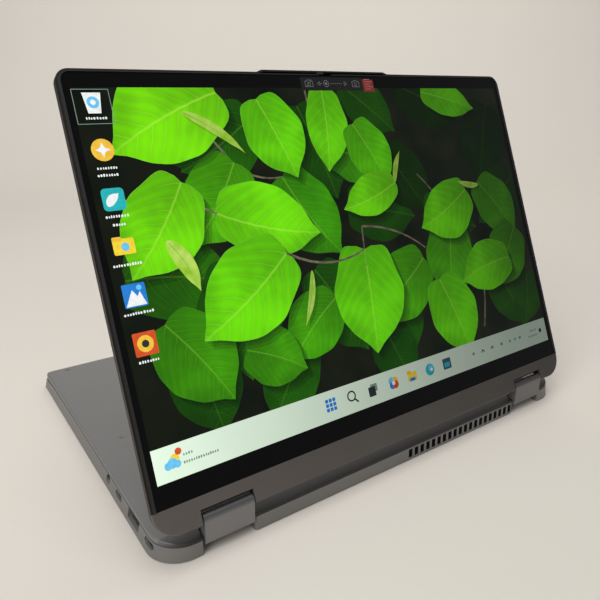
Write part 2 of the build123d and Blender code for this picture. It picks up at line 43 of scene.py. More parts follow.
def lid_matrix():
    """Flat lid coordinates in mm (across, up the screen, out of the glass) to the row frame."""
    glass = nodes["display_glass"].data
    front = max(glass.polygons, key=lambda p: (round(-p.normal.y, 3), p.area))
    out = front.normal.normalized()
    across = Vector((1, 0, 0))
    up = out.cross(across)
    points = [v.co for v in glass.vertices]
    height = max(p.dot(out) for p in points)
    low = min(p.dot(up) for p in points) - GLASS_FOOT * MM
    origin = out * height + up * low
    m = Matrix((across, up, out)).transposed().to_4x4()
    return Matrix.Translation(origin) @ m @ Matrix.Scale(MM, 4)


LID = lid_matrix()
PIC_W, PIC_H, PIC_V0 = 301.6, 188.5, 25.4   # lit area, and its lower edge up the lid
BAR_H = 16.6                                # task bar
PLACE_UNIT = 100.0                          # mm in one unit of the "place" map
FILM_V = 216.6                              # middle of the camera film up the lid
PICTURE_UP, PRINT_UP, TAB_UP = 0.035, 0.125, 0.245   # mm over the glass: picture, film print, tab print


# ---------------------------------------------------------------- material helpers
def new_material(name):
    mat = bpy.data.materials.new(name)
    mat.use_nodes = True
    tree = mat.node_tree
    return mat, tree, tree.nodes["Principled BSDF"]


def node(tree, kind, **values):
    n = tree.nodes.new(kind)
    for key, value in values.items():
        setattr(n, key, value)
    return n


def math_node(tree, op, a, b=None):
    n = node(tree, "ShaderNodeMath", operation=op)
    for i, value in enumerate((a, b)):
        if value is None:
            continue
        if isinstance(value, (int, float)):
            n.inputs[i].default_value = value
        else:
            tree.links.new(value, n.inputs[i])
    return n.outputs[0]


def times(tree, *values):
    out = values[0]
    for value in values[1:]:
        out = math_node(tree, "MULTIPLY", out, value)
    return out


def spread(tree, value, low, high, to_low, to_high):
    """A value carried from one range to another, held at both ends."""
    n = node(tree, "ShaderNodeMapRange")
    tree.links.new(value, n.inputs[0])
    for i, v in enumerate((low, high, to_low, to_high)):
        n.inputs[i + 1].default_value = v
    return n.outputs[0]


def noise(tree, coord, scale, detail=2.0):
    n = node(tree, "ShaderNodeTexNoise")
    n.inputs["Scale"].default_value = scale
    n.inputs["Detail"].default_value = detail
    tree.links.new(coord, n.inputs["Vector"])
    return n.outputs["Fac"]


def mix_colour(tree, fac, a, b):
    n = node(tree, "ShaderNodeMix", data_type="RGBA")
    for socket, value in ((n.inputs[0], fac), (n.inputs[6], a), (n.inputs[7], b)):
        if isinstance(value, (int, float)):
            socket.default_value = value
        elif isinstance(value, tuple):
            socket.default_value = (*value, 1) if len(value) == 3 else value
        else:
            tree.links.new(value, socket)
    return n.outputs[2]


SHARP_ANGLE = 35.0                          # degrees from which an edge is rounded
GRAIN_DEPTH = 0.04                          # mm


def surface(name, colour, rough=0.45, metal=0.0, grain=0.0, grain_scale=2600.0, mottle=0.06,
            mottle_scale=38.0, rough_spread=0.06, specular=0.5, coat=0.0, brushed=None):
    """A made surface: its colour, a slow mottle, a fine grain in gloss and in relief."""
    mat, tree, bsdf = new_material(name)
    coord = node(tree, "ShaderNodeTexCoord").outputs["Object"]
    slow = noise(tree, coord, mottle_scale, 3.0)
    dark = tuple(c * (1 - mottle) for c in colour)
    light = tuple(min(1.0, c * (1 + mottle)) for c in colour)
    fine = noise(tree, coord, grain_scale, 1.0)
    both = math_node(tree, "ADD", times(tree, slow, 0.6), times(tree, fine, 0.4))
    colours = mix_colour(tree, spread(tree, both, 0.3, 0.7, 0.0, 1.0), dark, light)
    tree.links.new(colours, bsdf.inputs["Base Color"])
    gloss = spread(tree, both, 0.3, 0.7, max(0.02, rough - rough_spread), rough + rough_spread)
    tree.links.new(gloss, bsdf.inputs["Roughness"])
    bsdf.inputs["Metallic"].default_value = metal
    bsdf.inputs["Specular IOR Level"].default_value = specular
    if coat:
        bsdf.inputs["Coat Weight"].default_value = coat
        bsdf.inputs["Coat Roughness"].default_value = 0.08
    if grain:
        height = fine
        if brushed:
            stretch = node(tree, "ShaderNodeMapping")
            stretch.inputs["Scale"].default_value = brushed
            tree.links.new(coord, stretch.inputs["Vector"])
            height = noise(tree, stretch.outputs[0], 900.0, 2.0)
        bump = node(tree, "ShaderNodeBump")
        bump.inputs["Strength"].default_value = grain
        bump.inputs["Distance"].default_value = GRAIN_DEPTH * MM
        tree.links.new(height, bump.inputs["Height"])
        tree.links.new(bump.outputs[0], bsdf.inputs["Normal"])
    return mat


def dress(names, mat, bevel=0.0, segments=2):
    """Give nodes a finish, and round their edges by a bevel in mm."""
    for name in names:
        obj = nodes[name]
        obj.data.materials.clear()
        obj.data.materials.append(mat)
        if bevel:
            mod = obj.modifiers.new("edge", "BEVEL")
            mod.width = bevel * MM
            mod.segments = segments
            mod.limit_method = "ANGLE"
            mod.angle_limit = math.radians(SHARP_ANGLE)
            mod.use_clamp_overlap = True
            mod.harden_normals = False


body_grey = surface("body_grey", (0.185, 0.181, 0.176), 0.42, 0.35, grain=0.25, mottle=0.05)
cover_grey = surface("cover_grey", (0.200, 0.199, 0.199), 0.46, 0.30, grain=0.25, mottle=0.05)
hinge_grey = surface("hinge_grey", (0.190, 0.186, 0.189), 0.36, 0.35, grain=0.2, mottle=0.04)
chin_grey = surface("chin_grey", (0.084, 0.075, 0.068), 0.40, 0.35, grain=0.3, mottle=0.06)
# lighter finish on rounded edges: a painted highlight
edge_highlight = surface("edge_highlight", (0.42, 0.415, 0.41), 0.30, 0.60, mottle=0.04)
# dark front rim of the lid, and painted shade on its outer sides and in the hinge notches
frame_dark_and_shade = surface("frame_dark_and_shade", (0.016, 0.013, 0.011), 0.50, 0.10, grain=0.3, mottle=0.06, specular=0.3)
seal_rubber = surface("seal_rubber", (0.010, 0.010, 0.010), 0.62, 0.0, grain=0.4, grain_scale=4000)
key_plastic = surface("key_plastic", (0.030, 0.030, 0.032), 0.52, 0.0, grain=0.5, grain_scale=5200)
screen_glass = surface("screen_glass", (0.0022, 0.0022, 0.0024), 0.07, 0.0, mottle=0.3, rough_spread=0.025,
                       mottle_scale=22.0, specular=0.22)
inner_steel = surface("inner_steel", (0.35, 0.35, 0.36), 0.34, 0.9, grain=0.6, brushed=(1, 14, 1))
port_steel = surface("port_steel", (0.42, 0.42, 0.43), 0.28, 0.9, grain=0.2)
# black of the jack and cables, and painted shade on the walls of the exhaust slots
black_and_vent_shade = surface("black_and_vent_shade", (0.012, 0.012, 0.013), 0.5, 0.0, grain=0.2)
board_green = surface("board_green", (0.010, 0.060, 0.028), 0.4, 0.0, grain=0.3, mottle=0.25,
                      mottle_scale=400)
board_black = surface("board_black", (0.016, 0.016, 0.018), 0.55, 0.0, grain=0.4, grain_scale=3500)
copper = surface("copper", (0.50, 0.22, 0.12), 0.3, 1.0, grain=0.4, brushed=(1, 9, 1))
battery_film = surface("battery_film", (0.02, 0.02, 0.022), 0.35, 0.0, mottle=0.1)
screw_steel = surface("screw_steel", (0.28, 0.28, 0.285), 0.34, 0.85, grain=0.3)
label_film = surface("label_film", (0.006, 0.006, 0.0065), 0.22, 0.0, mottle=0.15, coat=0.3)
tab_red = surface("tab_red", (0.22, 0.022, 0.018), 0.38, 0.0, mottle=0.12, grain=0.3, grain_scale=1500)


LIMIT_FADE = 3.0                            # mm
ACROSS, AWAY, UP = range(3)                 # axes of the row frame


def paint_shade(mat, axis, start, end, gain_start, gain_end, limit=None):
    """Painted light and shade: scale a finish along one axis of the row frame (metres); past the limit it
    keeps its own tone.
    """
    tree = mat.node_tree
    bsdf = tree.nodes["Principled BSDF"]
    old = bsdf.inputs["Base Color"].links[0].from_socket
    sep = node(tree, "ShaderNodeSeparateXYZ")
    tree.links.new(node(tree, "ShaderNodeTexCoord").outputs["Object"], sep.inputs[0])
    gain = spread(tree, sep.outputs[axis], start, end, gain_start, gain_end)
    if limit is not None:
        beyond = spread(tree, sep.outputs[axis], limit, limit + LIMIT_FADE * MM, 0.0, 1.0)
        gain = math_node(tree, "MAXIMUM", gain, beyond)
    scaled = node(tree, "ShaderNodeVectorMath", operation="SCALE")
    tree.links.new(old, scaled.inputs[0])
    tree.links.new(gain, scaled.inputs[3])
    tree.links.new(scaled.outputs[0], bsdf.inputs["Base Color"])


def edge_highlight_line(name):
    """Painted highlight: rounded edges take a lighter, glossier finish."""
    nodes[name].data.materials.append(edge_highlight)
    nodes[name].modifiers["edge"].material = 1


LID_EDGE_X, LID_EDGE_TOP = 154.0, 218.0     # flat lid, mm: past these a side face is an outer one
NOTCH_X, NOTCH_TOP = (103.0, 134.5), 9.0    # flat lid, mm: hinge notches
STEEP = 0.6                                 # cosine that parts a front face from a side face
VENT_BOX = ((4.0, 103.0), (-114.0, -107.0), (1.9, 7.6))   # row frame, mm: exhaust slots


def paint_lid_frame_shade(mat):
    """Front rim, outer sides and hinge notches of the back cover take a dark finish; on the outer sides and
    in the notches it is painted shade.
    """
    mesh = nodes["lid_back_cover"].data
    mesh.materials.append(mat)
    out = (LID.to_3x3() @ Vector((0, 0, 1))).normalized()
    for poly in mesh.polygons:
        x, up, _ = LID.inverted() @ poly.center
        facing = poly.normal.dot(out)
        edge = abs(x) > LID_EDGE_X or up > LID_EDGE_TOP
        notch = NOTCH_X[0] < abs(x) < NOTCH_X[1] and up < NOTCH_TOP
        if facing > STEEP or abs(facing) < STEEP and (edge or notch):
            poly.material_index = 1


def paint_vent_shade(mat):
    """Painted shade: the walls of the exhaust slots in the rear wall of the base take a black finish."""
    mesh = nodes["keyboard_deck"].data
    mesh.materials.append(mat)
    for poly in mesh.polygons:
        inside = all(low < c < high for c, (low, high) in zip(poly.center / MM, VENT_BOX))
        if inside and abs(poly.normal.y) < 0.7:
            poly.material_index = 2


paint_shade(chin_grey, ACROSS, -0.15, 0.15, 1.55, 0.72)                       # painted light: paler at the left end, darker to the right
# painted light and shade: hinge blocks lighter at the left, darker to the right
paint_shade(hinge_grey, ACROSS, -0.13, 0.13, 1.08, 0.78)
paint_shade(hinge_grey, UP, 0.0188, 0.0222, 1.0, 0.30)                        # painted shadow: dark top, inside the notch
paint_shade(cover_grey, AWAY, -0.1122, -0.1040, 0.04, 0.62, -0.1046)          # painted shade: dark strip under the lid
dress(["keyboard_deck"], body_grey, 0.35)
# painted highlight along the deck's rounded edges
edge_highlight_line("keyboard_deck")
# painted shade inside the exhaust slots
paint_vent_shade(black_and_vent_shade)
dress(["bottom_cover"], cover_grey, 0.15)
dress(["key_grid", "touchpad"], body_grey, 0.1)
dress(["power_button"], hinge_grey, 0.2)
dress(["lid_back_cover"], body_grey, 0.2)
# painted shade on the lid's outer sides and in the hinge notches
paint_lid_frame_shade(frame_dark_and_shade)
dress(["chin_strip"], chin_grey, 0.15)
dress(["hinge_block_left", "hinge_block_right"], hinge_grey, 0.35, 3)
dress(["rubber_feet", "rim_gasket"], seal_rubber, 0.25, 3)
dress(["space_bar"] + [f"key_row_{i}" for i in range(1, 7)], key_plastic, 0.3, 3)
dress(["display_glass"], screen_glass)
dress(["keyboard_plate", "base_hinge_left", "base_hinge_right", "lid_hinge_left", "lid_hinge_right",
       "lid_magnets"], inner_steel, 0.1)
dress(["usb_c_ports", "hdmi_port", "usb_a_ports", "card_reader"], port_steel, 0.06)
dress(["audio_jack"], black_and_vent_shade, 0.06)
dress(["motherboard", "ssd", "wifi_card", "io_board", "camera_module", "mic_board"], board_green, 0.06)
dress(["fan_housing", "fan_rotor", "battery_frame", "speaker_left", "speaker_right", "privacy_shutter",
       "lcd_panel"], board_black, 0.08)
dress(["heat_pipe", "heatsink_fins", "cold_plate", "antennas"], copper, 0.06)
dress(["battery_cells"], battery_film, 0.3, 3)
dress(["display_cable", "board_ribbon"], black_and_vent_shade)
dress(["bottom_screws"], screw_steel, 0.08)
dress(["camera_label"], label_film)
dress(["label_tab"], tab_red)


# ---------------------------------------------------------------- picture on the screen
def dimmed(tree, colour, fade=0.74, power=1.8, start=0.0):
    """A lit colour that sinks towards the right-hand side of the panel."""
    sep = node(tree, "ShaderNodeSeparateXYZ")
    tree.links.new(node(tree, "ShaderNodeUVMap", uv_map="place").outputs[0], sep.inputs[0])
    left = spread(tree, sep.outputs[0], start, PIC_W / PLACE_UNIT, 1.0, 0.0)
    kept = spread(tree, math_node(tree, "POWER", left, power), 0.0, 1.0, 1 - fade, 1.0)
    scaled = node(tree, "ShaderNodeVectorMath", operation="SCALE")
    tree.links.new(colour, scaled.inputs[0])
    tree.links.new(kept, scaled.inputs[3])
    return scaled.outputs[0]


def leaf_material():
    """A lit leaf: midrib, curved side veins and a soft fall of light, from flat leaf coordinates."""
    mat, tree, bsdf = new_material("leaf_picture")
    uv = node(tree, "ShaderNodeUVMap", uv_map="leaf").outputs[0]
    sep = node(tree, "ShaderNodeSeparateXYZ")
    tree.links.new(uv, sep.inputs[0])
    along, side = sep.outputs[0], sep.outputs[1]
    info = node(tree, "ShaderNodeAttribute", attribute_name="leaf_tone")
    split = node(tree, "ShaderNodeSeparateColor")
    tree.links.new(info.outputs["Color"], split.inputs[0])
    tone, warm, bend = split.outputs[0], split.outputs[1], split.outputs[2]
    arch = times(tree, along, math_node(tree, "SUBTRACT", 1.0, along), 4.0)
    curve = times(tree, math_node(tree, "SUBTRACT", bend, 0.5), 0.6)
    across = math_node(tree, "SUBTRACT", side, times(tree, arch, curve))
    dist = math_node(tree, "ABSOLUTE", across)
    right = spread(tree, across, -0.001, 0.001, 0.0, 1.0)
    lean = math_node(tree, "ADD", times(tree, dist, 5.0), times(tree, dist, dist, 9.0))
    phase = math_node(tree, "SUBTRACT", times(tree, along, 7.5), lean)
    phase = math_node(tree, "ADD", phase, times(tree, right, 0.45))
    phase = math_node(tree, "ADD", phase, times(tree, noise(tree, uv, 2.6, 2.0), 0.8))
    saw = math_node(tree, "ABSOLUTE", math_node(tree, "SUBTRACT", math_node(tree, "FRACT", phase), 0.5))
    vein = times(tree, spread(tree, saw, 0.0, 0.05, 1.0, 0.0), spread(tree, dist, 0.02, 0.33, 0.80, 0.10))
    rib = times(tree, spread(tree, dist, 0.003, 0.013, 1.0, 0.0), spread(tree, along, 0.3, 1.0, 1.0, 0.45))
    cells = node(tree, "ShaderNodeTexVoronoi", feature="DISTANCE_TO_EDGE")
    cells.inputs["Scale"].default_value = 24.0
    tree.links.new(uv, cells.inputs["Vector"])
    net = spread(tree, cells.outputs[0], 0.0, 0.05, 0.10, 0.0)
    lines = math_node(tree, "MAXIMUM", math_node(tree, "MAXIMUM", rib, vein), net)
    half = spread(tree, across, -0.05, 0.05, 0.88, 1.06)
    blot = spread(tree, noise(tree, uv, 2.4, 2.0), 0.3, 0.7, 0.84, 1.12)
    quilt = spread(tree, saw, 0.0, 0.5, 0.94, 1.05)
    root = spread(tree, along, 0.0, 0.5, 0.82, 1.03)
    light = times(tree, tone, half, blot, quilt, root)
    deep = mix_colour(tree, warm, (0.003, 0.060, 0.001), (0.014, 0.090, 0.0008))
    lit = mix_colour(tree, warm, (0.040, 0.560, 0.0008), (0.195, 0.740, 0.001))
    flesh = mix_colour(tree, light, deep, lit)
    dim = math_node(tree, "POWER", math_node(tree, "MAXIMUM", light, 0.0), 0.8)
    pale = mix_colour(tree, warm, (0.17, 0.72, 0.035), (0.46, 0.90, 0.06))
    strength = times(tree, lines, spread(tree, tone, 0.1, 0.8, 0.30, 0.60))
    both = node(tree, "ShaderNodeVectorMath", operation="SCALE")
    tree.links.new(mix_colour(tree, strength, flesh, pale), both.inputs[0])
    tree.links.new(dim, both.inputs[3])
    tree.links.new(dimmed(tree, both.outputs[0], 0.82, 1.15, 0.95), bsdf.inputs["Emission Color"])
    finish_lit(bsdf)
    return mat


def finish_lit(bsdf):
    """A lit layer seen through the same gloss as the glass."""
    bsdf.inputs["Emission Strength"].default_value = 1.0
    bsdf.inputs["Base Color"].default_value = (0.002, 0.002, 0.002, 1)
    bsdf.inputs["Roughness"].default_value = 0.07
    bsdf.inputs["Specular IOR Level"].default_value = 0.22


def lit_material(name, low, high, scale=30.0, fade=0.74):
    """Lit picture area whose colour drifts between two tones."""
    mat, tree, bsdf = new_material(name)
    uv = node(tree, "ShaderNodeUVMap", uv_map="place").outputs[0]
    fac = spread(tree, noise(tree, uv, scale, 2.0), 0.3, 0.7, 0.0, 1.0)
    tree.links.new(dimmed(tree, mix_colour(tree, fac, low, high), fade), bsdf.inputs["Emission Color"])
    finish_lit(bsdf)
    return mat


LEAF_STEPS = 30


def leaf_outline(length, width, bend, heart, near=1.0, far=1.0):
    """Outline of a broad pointed leaf lying along +X from its stalk at the origin.

    The width is a share of the length, bend bows the midrib, heart draws the lobes back past the
    stalk, and near and far widen one half each.
    """
    def half(t):
        """Half width at a share of the length: full body, drawn-in tip, faint waves on the edge."""
        body = math.sqrt(t) * (1 - t ** 1.8) * 1.953
        tip = 0.09 * max(0.0, 1 - abs(t - 0.9) / 0.1)
        return width * length * (body - tip) * 0.5 * (1 + 0.012 * math.sin(23 * t + length))

    def centre(t):
        return 4 * bend * 0.6 * t * (1 - t) * length

    upper, lower = [], []
    for i in range(1, LEAF_STEPS):
        t = (i / LEAF_STEPS) ** 1.3
        back = heart * length * 0.10 * math.exp(-((t - 0.10) / 0.09) ** 2)
        upper.append((t * length - back, centre(t) + half(t) * near))
        lower.append((t * length - back, centre(t) - half(t) * far))
    return [(0, 0)] + upper + [(length, 0)] + lower[::-1]


def placed(points, x, y, angle):
    c, s = math.cos(math.radians(angle)), math.sin(math.radians(angle))
    return [(x + px * c - py * s, y + px * s + py * c) for px, py in points]


def strip(points, width0, width1):
    """A tapering stroke along a polyline."""
    left, right = [], []
    n = len(points)
    for i, (x, y) in enumerate(points):
        a = points[max(i - 1, 0)]
        b = points[min(i + 1, n - 1)]
        dx, dy = b[0] - a[0], b[1] - a[1]
        d = math.hypot(dx, dy) or 1.0
        w = (width0 + (width1 - width0) * i / (n - 1)) / 2
        left.append((x - dy / d * w, y + dx / d * w))
        right.append((x + dy / d * w, y - dx / d * w))
    return left + right[::-1]


BOW_POINTS = 8


def bowed(x0, y0, x1, y1, bow):
    """Points on a bowed line."""
    dx, dy = x1 - x0, y1 - y0
    out = []
    for i in range(BOW_POINTS):
        t = i / (BOW_POINTS - 1)
        k = 4 * bow * t * (1 - t)
        out.append((x0 + dx * t - dy * k, y0 + dy * t + dx * k))
    return out


def disc(x, y, r, n=20):
    turns = [2 * math.pi * i / n for i in range(n)]
    return [(x + r * math.cos(a), y + r * math.sin(a)) for a in turns]


def tile(x0, y0, x1, y1, r=0.0, n=4):
    if r <= 0:
        return [(x0, y0), (x1, y0), (x1, y1), (x0, y1)]
    pts = []
    middles = [(x1 - r, y1 - r), (x0 + r, y1 - r), (x0 + r, y0 + r), (x1 - r, y0 + r)]
    for corner, (cx, cy) in enumerate(middles):
        for i in range(n + 1):
            t = math.radians(90 * corner + 90 * i / n)
            pts.append((cx + r * math.cos(t), cy + r * math.sin(t)))
    return pts


def outline(points, w):
    """A closed line of even width, one stroke for each side."""
    return [strip([a, b], w, w) for a, b in zip(points, points[1:] + points[:1])]


SHADOW_DROPS = (5.0, 3.2, 1.6)              # mm that a leaf's shadows fall, widest first
SHADOW_TONE = 0.80                          # tone left under one shadow
FILM_T = 0.03                               # mm


class Sheet:
    """Flat overlapping outlines, later ones on top, turned into one flat mesh."""

    def __init__(self):
        self.items = []
        self.mats = []

    def add(self, points, mat, tone=(0, 0, 0.5), at=None):
        if mat not in self.mats:
            self.mats.append(mat)
        self.items.append((points, self.mats.index(mat), tone, at or (0, 0, 0, 1)))

    def shadow(self, points):
        """An outline that only darkens what lies below it."""
        self.items.append((points, None, None, None))

    def leaf(self, x, y, length, angle, width, tone, warm=0.5, bend=0.0, heart=0.0, near=1.0, far=1.0):
        shape = leaf_outline(length, width, bend, heart, near, far)
        if tone > 0.4:
            for drop in SHADOW_DROPS:
                self.shadow(placed(shape, x + 0.7 * drop, y - drop, angle))
            longer, wider = 1 + 0.35 / length, 1 + 0.5 / (width * length)
            middle = length / 2
            rim = [((px - middle) * longer + middle, py * wider) for px, py in shape]
            self.add(placed(rim, x, y, angle), edge_light if tone > 0.7 else edge_dim)
        self.add(placed(shape, x, y, angle), leaf_mat, (tone, warm, 0.5 + bend), (x, y, angle, length))

    def stalk(self, x0, y0, x1, y1, bow=0.0, w0=1.3, w1=0.8, mat=None):
        self.add(strip(bowed(x0, y0, x1, y1, bow), w0, w1), mat or stalk_mat)

    def build(self, name, clip, height, place):
        """One flat film, cut to a rectangle, at a height over the glass."""
        cx0, cy0 = clip[:2]
        verts, faces = [], []
        for points, _, _, _ in self.items:
            base = len(verts)
            kept = clipped(points, clip)
            if signed_area(kept) < 0:
                kept = kept[::-1]
            if len(kept) < 3:
                faces.append([])
                continue
            verts += [Vector(p) for p in kept]
            faces.append(list(range(base, base + len(kept))))
        used = [f for f in faces if f]
        index = [i for i, f in enumerate(faces) if f]
        out_v, _, out_f, _, _, origin = delaunay_2d_cdt(verts, [], used, 1, 1e-4, True)
        mesh = bpy.data.meshes.new(name)
        shown, owner, shadow = [], [], []
        for f, who in zip(out_f, origin):
            solid = [index[w] for w in who if self.items[index[w]][1] is not None]
            if solid and len(f) >= 3:
                shown.append(list(f))
                owner.append(max(solid))
                shadow.append(SHADOW_TONE ** sum(index[w] > max(solid) for w in who))
        mesh.from_pydata([place @ Vector((v.x, v.y, height)) for v in out_v], [], shown)
        for m in self.mats:
            mesh.materials.append(m)
        mesh.uv_layers.new(name="leaf")
        mesh.uv_layers.new(name="place")
        mesh.color_attributes.new("leaf_tone", "FLOAT_COLOR", "CORNER")
        leaf_uv, place_uv = mesh.uv_layers["leaf"], mesh.uv_layers["place"]
        tone_at = mesh.color_attributes["leaf_tone"]
        for poly, who, dark in zip(mesh.polygons, owner, shadow):
            _, mat_i, tone, (x, y, angle, length) = self.items[who]
            tone = (tone[0] * dark, *tone[1:])
            poly.material_index = mat_i
            c, s = math.cos(math.radians(angle)), math.sin(math.radians(angle))
            for li in poly.loop_indices:
                v = out_v[mesh.loops[li].vertex_index]
                dx, dy = (v.x - x) / length, (v.y - y) / length
                leaf_uv.data[li].uv = (dx * c + dy * s, -dx * s + dy * c)
                place_uv.data[li].uv = ((v.x - cx0) / PLACE_UNIT, (v.y - cy0) / PLACE_UNIT)
                tone_at.data[li].color = (*tone, 1)
        mesh.update()
        obj = bpy.data.objects.new(name, mesh)
        bpy.context.scene.collection.objects.link(obj)
        fix = bmesh.new()
        fix.from_mesh(mesh)
        bmesh.ops.delete(fix, geom=[v for v in fix.verts if not v.link_faces], context="VERTS")
        fix.normal_update()
        fix.to_mesh(mesh)
        fix.free()
        thick = obj.modifiers.new("film", "SOLIDIFY")
        thick.thickness = FILM_T * MM
        thick.offset = -1.0
        return obj


def signed_area(points):
    return sum(a[0] * b[1] - b[0] * a[1] for a, b in zip(points, points[1:] + points[:1])) / 2


def clipped(points, box):
    """Sutherland-Hodgman clip to a rectangle."""
    x0, y0, x1, y1 = box
    tests = [(0, x0, 1), (0, x1, -1), (1, y0, 1), (1, y1, -1)]
    out = list(points)
    for axis, limit, sign in tests:
        source, out = out, []
        for i, p in enumerate(source):
            q = source[(i + 1) % len(source)]
            p_in = (p[axis] - limit) * sign >= 0
            q_in = (q[axis] - limit) * sign >= 0
            if p_in:
                out.append(p)
            if p_in != q_in:
                t = (limit - p[axis]) / (q[axis] - p[axis])
                out.append((p[0] + (q[0] - p[0]) * t, p[1] + (q[1] - p[1]) * t))
        if not out:
            return []
    return out


leaf_mat = leaf_material()
edge_light = lit_material("leaf_edge_light", (0.10, 0.55, 0.03), (0.26, 0.74, 0.08), 60.0)
edge_dim = lit_material("leaf_edge_dim", (0.015, 0.14, 0.008), (0.045, 0.24, 0.015), 60.0)
gloom = lit_material("picture_gloom", (0.0010, 0.0030, 0.0010), (0.0075, 0.0105, 0.0040), 3.0, 0.0)
stalk_mat = lit_material("picture_stalk", (0.10, 0.09, 0.05), (0.32, 0.28, 0.18), 20.0)
bud_mat = lit_material("picture_bud", (0.30, 0.62, 0.02), (0.62, 0.86, 0.16), 14.0)
bar_mat = lit_material("picture_bar", (0.80, 0.97, 0.78), (0.84, 1.00, 0.82), 5.0, 0.79)


DEEP_DIM, MIDDLE_DIM = 0.68, 0.86          # how far the layers behind sink below the front leaves


def deep_leaves(pic):
    """Dim leaves at the back: place of the stalk, length, direction, width share, tone, warmth."""
    deep = [
        (38, 196, 70, -50, 0.70, 0.42, 0.3), (92, 172, 54, -150, 0.76, 0.45, 0.2),
        (124, 178, 58, -75, 0.74, 0.34, 0.2), (6, 96, 60, -12, 0.72, 0.50, 0.3),
        (66, 96, 62, -96, 0.80, 0.46, 0.2), (34, 62, 50, -84, 0.78, 0.32, 0.2),
        (112, 84, 58, -64, 0.72, 0.42, 0.2), (146, 116, 52, -12, 0.76, 0.36, 0.2),
        (184, 150, 50, -58, 0.78, 0.20, 0.3), (206, 190, 56, -24, 0.70, 0.18, 0.4),
        (288, 176, 62, -112, 0.72, 0.22, 0.1), (300, 124, 54, -146, 0.80, 0.36, 0.3),
        (178, 60, 50, -120, 0.76, 0.44, 0.2), (152, 46, 44, -70, 0.8, 0.34, 0.1),
        (258, 64, 52, -66, 0.74, 0.50, 0.4), (206, 108, 48, -20, 0.78, 0.50, 0.3),
        (96, 44, 46, -130, 0.76, 0.40, 0.2), (294, 54, 40, -110, 0.8, 0.55, 0.4),
        (160, 190, 46, -40, 0.7, 0.38, 0.3),
    ]
    for x, y, length, angle, width, tone, warm in deep:
        pic.leaf(x, y, length, angle, width, DEEP_DIM * tone, warm, rng.uniform(-0.10, 0.10), 0.9)
    pic.stalk(30, 190, 76, 146, 0.08, 1.6, 1.2)
    pic.stalk(76, 146, 104, 138, -0.10, 1.2, 0.9)
    pic.stalk(132, 190, 140, 150, -0.06, 1.4, 1.0)


def middle_leaves(pic):
    """Half-lit leaves: as the deep ones, then the bow of the midrib and the depth of the lobes."""
    middle = [
        (76, 148, 52, -128, 0.78, 0.78, 0.5, 0.06, 0.9), (104, 138, 56, -58, 0.76, 0.70, 0.3, -0.06, 0.9),
        (20, 72, 52, -58, 0.82, 0.66, 0.4, 0.05, 0.9), (140, 152, 44, -20, 0.78, 0.72, 0.4, 0.06, 0.8),
        (122, 66, 46, -142, 0.76, 0.72, 0.4, -0.06, 0.9), (196, 78, 58, -150, 0.72, 0.78, 0.5, 0.06, 0.8),
        (228, 98, 54, -104, 0.80, 0.78, 0.5, -0.05, 0.9), (262, 122, 50, -54, 0.76, 0.74, 0.6, 0.06, 0.8),
        (290, 86, 50, -132, 0.78, 0.76, 0.6, 0.05, 0.9), (60, 50, 38, -28, 0.84, 0.66, 0.4, 0.06, 0.8),
    ]
    for x, y, length, angle, width, tone, warm, bend, heart in middle:
        pic.leaf(x, y, length, angle, width, MIDDLE_DIM * tone, warm, bend, heart)
    pic.stalk(4, 132, 60, 122, 0.10, 1.2, 1.0)
    pic.stalk(60, 122, 96, 96, -0.08, 1.2, 1.0)
    pic.stalk(152, 104, 200, 84, 0.08, 1.4, 1.0)
    pic.stalk(152, 104, 150, 88, 0.0, 1.0, 0.8)
    pic.stalk(206, 132, 228, 98, 0.06, 1.2, 0.8)
    pic.stalk(238, 24, 248, 62, -0.04, 1.6, 1.1)


def front_leaves(pic):
    """Bright leaves: as the middle ones, then the share of width on the near and the far side."""
    front = [
        (74, 186, 68, 206, 0.72, 0.98, 0.90, -0.06, 0.8, 1.0, 1.1),
        (44, 140, 56, 232, 0.74, 0.96, 0.80, 0.06, 0.8, 1.0, 1.0),
        (98, 182, 48, -70, 0.80, 0.92, 0.60, 0.03, 0.9, 1.0, 1.0),
        (60, 122, 64, -16, 0.64, 0.98, 0.70, -0.07, 0.6, 1.2, 0.8),
        (144, 188, 50, -98, 0.62, 0.94, 0.65, 0.05, 0.7, 1.0, 0.9),
        (162, 166, 44, -64, 0.74, 0.84, 0.50, 0.04, 0.9, 1.0, 1.0),
        (96, 96, 68, 212, 0.70, 0.99, 0.65, 0.06, 0.8, 0.9, 1.1),
        (150, 90, 62, -96, 0.84, 0.98, 0.60, 0.02, 1.2, 1.0, 1.0),
        (186, 128, 46, 196, 0.58, 0.96, 0.75, 0.07, 0.5, 0.8, 1.1),
        (206, 62, 54, -74, 0.78, 0.96, 0.60, 0.04, 0.9, 1.0, 1.0),
        (248, 118, 52, 204, 0.72, 0.94, 0.70, 0.06, 0.8, 1.1, 0.9),
        (278, 66, 52, 190, 0.66, 0.98, 0.70, -0.07, 0.7, 1.0, 1.0),
        (226, 186, 50, -14, 0.48, 0.96, 0.65, 0.03, 0.4, 1.0, 1.0),
    ]
    for x, y, length, angle, width, tone, warm, bend, heart, near, far in front:
        pic.leaf(x, y, length, angle, width, tone, warm, bend, heart, near, far)
    pic.stalk(96, 96, 150, 90, -0.12, 1.5, 1.1)
    pic.stalk(150, 90, 149.5, 80, 0.0, 0.9, 0.5, edge_light)


